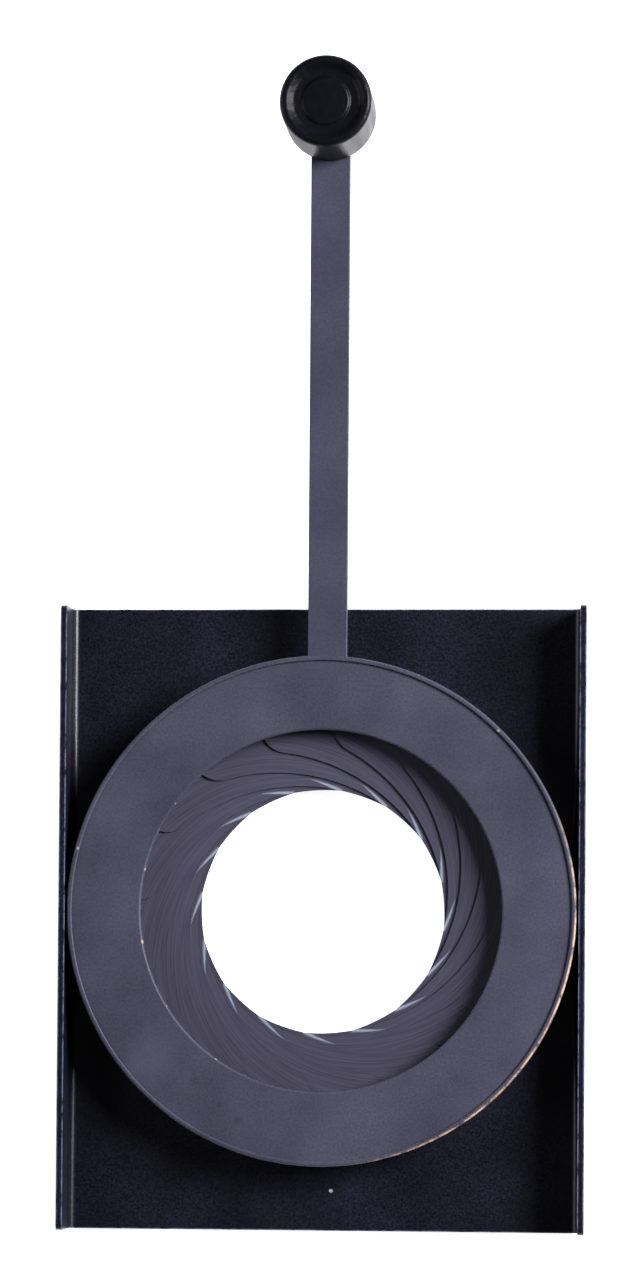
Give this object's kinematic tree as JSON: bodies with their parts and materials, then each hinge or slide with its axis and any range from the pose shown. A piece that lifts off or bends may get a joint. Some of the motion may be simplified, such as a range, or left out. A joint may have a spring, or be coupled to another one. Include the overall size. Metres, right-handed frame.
{
  "type": "iris diaphragm",
  "caption": "Drop-in iris diaphragm: flanged sheet-metal carrier, round housing, overlapping leaves and a lever with a round knob that opens and closes the light opening.",
  "frame": {"origin": "on the optical axis, on the carrier's flat back face", "axes": "+Z along the optical axis towards the front, +Y the way the lever points at mid travel, +X to the right seen from the front"},
  "size_m": [0.1164, 0.2576, 0.0277],
  "materials": {
    "black_painted_steel": "matte black paint",
    "grey_painted_steel": "matte dark grey paint, worn at the rim",
    "lever_painted_steel": "matte dark grey paint",
    "leaf_steel": "blackened thin spring steel",
    "bare_steel": "bare sheet steel",
    "brass_pin": "turned brass",
    "zinc_rivet": "zinc plated",
    "knob_phenolic": "glossy black moulding"
  },
  "bodies": {
    "carrier": {"carrier_plate": "black_painted_steel", "housing_cup": "grey_painted_steel", "spacer_ring": "bare_steel", "cover_ring": "grey_painted_steel", "housing_rivet_1": "zinc_rivet", "housing_rivet_2": "zinc_rivet", "housing_rivet_3": "zinc_rivet", "housing_rivet_4": "zinc_rivet"},
    "lever": {"actuator_ring": "bare_steel", "lever_arm": "lever_painted_steel", "lever_rivet_1": "zinc_rivet", "lever_rivet_2": "zinc_rivet", "knob": "knob_phenolic", "knob_screw": "zinc_rivet"},
    "leaf_01": {"leaf_01": "leaf_steel", "leaf_pins_01": "brass_pin"},
    "leaf_02": {"leaf_02": "leaf_steel", "leaf_pins_02": "brass_pin"},
    "leaf_03": {"leaf_03": "leaf_steel", "leaf_pins_03": "brass_pin"},
    "leaf_04": {"leaf_04": "leaf_steel", "leaf_pins_04": "brass_pin"},
    "leaf_05": {"leaf_05": "leaf_steel", "leaf_pins_05": "brass_pin"},
    "leaf_06": {"leaf_06": "leaf_steel", "leaf_pins_06": "brass_pin"},
    "leaf_07": {"leaf_07": "leaf_steel", "leaf_pins_07": "brass_pin"},
    "leaf_08": {"leaf_08": "leaf_steel", "leaf_pins_08": "brass_pin"},
    "leaf_09": {"leaf_09": "leaf_steel", "leaf_pins_09": "brass_pin"},
    "leaf_10": {"leaf_10": "leaf_steel", "leaf_pins_10": "brass_pin"},
    "leaf_11": {"leaf_11": "leaf_steel", "leaf_pins_11": "brass_pin"},
    "leaf_12": {"leaf_12": "leaf_steel", "leaf_pins_12": "brass_pin"},
    "leaf_13": {"leaf_13": "leaf_steel", "leaf_pins_13": "brass_pin"},
    "leaf_14": {"leaf_14": "leaf_steel", "leaf_pins_14": "brass_pin"},
    "leaf_15": {"leaf_15": "leaf_steel", "leaf_pins_15": "brass_pin"},
    "leaf_16": {"leaf_16": "leaf_steel", "leaf_pins_16": "brass_pin"}
  },
  "joints": [
    {"name": "lever_swing", "type": "hinge", "parent": "carrier", "child": "lever", "pos_m": [0, 0, 0], "axis": [0, 0, 1], "range_deg": [-36, 36]},
    {"name": "leaf_01_pivot", "type": "hinge", "parent": "carrier", "child": "leaf_01", "pos_m": [-0.04595, -0.01388, 0], "axis": [0, 0, 1], "range_deg": [-18, 18]},
    {"name": "leaf_02_pivot", "type": "hinge", "parent": "carrier", "child": "leaf_02", "pos_m": [-0.03714, -0.0304, 0], "axis": [0, 0, 1], "range_deg": [-18, 18]},
    {"name": "leaf_03_pivot", "type": "hinge", "parent": "carrier", "child": "leaf_03", "pos_m": [-0.02268, -0.0423, 0], "axis": [0, 0, 1], "range_deg": [-18, 18]},
    {"name": "leaf_04_pivot", "type": "hinge", "parent": "carrier", "child": "leaf_04", "pos_m": [-0.00477, -0.04776, 0], "axis": [0, 0, 1], "range_deg": [-18, 18]},
    {"name": "leaf_05_pivot", "type": "hinge", "parent": "carrier", "child": "leaf_05", "pos_m": [0.01388, -0.04595, 0], "axis": [0, 0, 1], "range_deg": [-18, 18]},
    {"name": "leaf_06_pivot", "type": "hinge", "parent": "carrier", "child": "leaf_06", "pos_m": [0.0304, -0.03714, 0], "axis": [0, 0, 1], "range_deg": [-18, 18]},
    {"name": "leaf_07_pivot", "type": "hinge", "parent": "carrier", "child": "leaf_07", "pos_m": [0.0423, -0.02268, 0], "axis": [0, 0, 1], "range_deg": [-18, 18]},
    {"name": "leaf_08_pivot", "type": "hinge", "parent": "carrier", "child": "leaf_08", "pos_m": [0.04776, -0.00477, 0], "axis": [0, 0, 1], "range_deg": [-18, 18]},
    {"name": "leaf_09_pivot", "type": "hinge", "parent": "carrier", "child": "leaf_09", "pos_m": [0.04595, 0.01388, 0], "axis": [0, 0, 1], "range_deg": [-18, 18]},
    {"name": "leaf_10_pivot", "type": "hinge", "parent": "carrier", "child": "leaf_10", "pos_m": [0.03714, 0.0304, 0], "axis": [0, 0, 1], "range_deg": [-18, 18]},
    {"name": "leaf_11_pivot", "type": "hinge", "parent": "carrier", "child": "leaf_11", "pos_m": [0.02268, 0.0423, 0], "axis": [0, 0, 1], "range_deg": [-18, 18]},
    {"name": "leaf_12_pivot", "type": "hinge", "parent": "carrier", "child": "leaf_12", "pos_m": [0.00477, 0.04776, 0], "axis": [0, 0, 1], "range_deg": [-18, 18]},
    {"name": "leaf_13_pivot", "type": "hinge", "parent": "carrier", "child": "leaf_13", "pos_m": [-0.01388, 0.04595, 0], "axis": [0, 0, 1], "range_deg": [-18, 18]},
    {"name": "leaf_14_pivot", "type": "hinge", "parent": "carrier", "child": "leaf_14", "pos_m": [-0.0304, 0.03714, 0], "axis": [0, 0, 1], "range_deg": [-18, 18]},
    {"name": "leaf_15_pivot", "type": "hinge", "parent": "carrier", "child": "leaf_15", "pos_m": [-0.0423, 0.02268, 0], "axis": [0, 0, 1], "range_deg": [-18, 18]},
    {"name": "leaf_16_pivot", "type": "hinge", "parent": "carrier", "child": "leaf_16", "pos_m": [-0.04776, 0.00477, 0], "axis": [0, 0, 1], "range_deg": [-18, 18]}
  ],
  "couplings": [
    {"joint": "leaf_01_pivot", "follows": "lever_swing", "ratio": 0.5},
    {"joint": "leaf_02_pivot", "follows": "lever_swing", "ratio": 0.5},
    {"joint": "leaf_03_pivot", "follows": "lever_swing", "ratio": 0.5},
    {"joint": "leaf_04_pivot", "follows": "lever_swing", "ratio": 0.5},
    {"joint": "leaf_05_pivot", "follows": "lever_swing", "ratio": 0.5},
    {"joint": "leaf_06_pivot", "follows": "lever_swing", "ratio": 0.5},
    {"joint": "leaf_07_pivot", "follows": "lever_swing", "ratio": 0.5},
    {"joint": "leaf_08_pivot", "follows": "lever_swing", "ratio": 0.5},
    {"joint": "leaf_09_pivot", "follows": "lever_swing", "ratio": 0.5},
    {"joint": "leaf_10_pivot", "follows": "lever_swing", "ratio": 0.5},
    {"joint": "leaf_11_pivot", "follows": "lever_swing", "ratio": 0.5},
    {"joint": "leaf_12_pivot", "follows": "lever_swing", "ratio": 0.5},
    {"joint": "leaf_13_pivot", "follows": "lever_swing", "ratio": 0.5},
    {"joint": "leaf_14_pivot", "follows": "lever_swing", "ratio": 0.5},
    {"joint": "leaf_15_pivot", "follows": "lever_swing", "ratio": 0.5},
    {"joint": "leaf_16_pivot", "follows": "lever_swing", "ratio": 0.5}
  ]
}
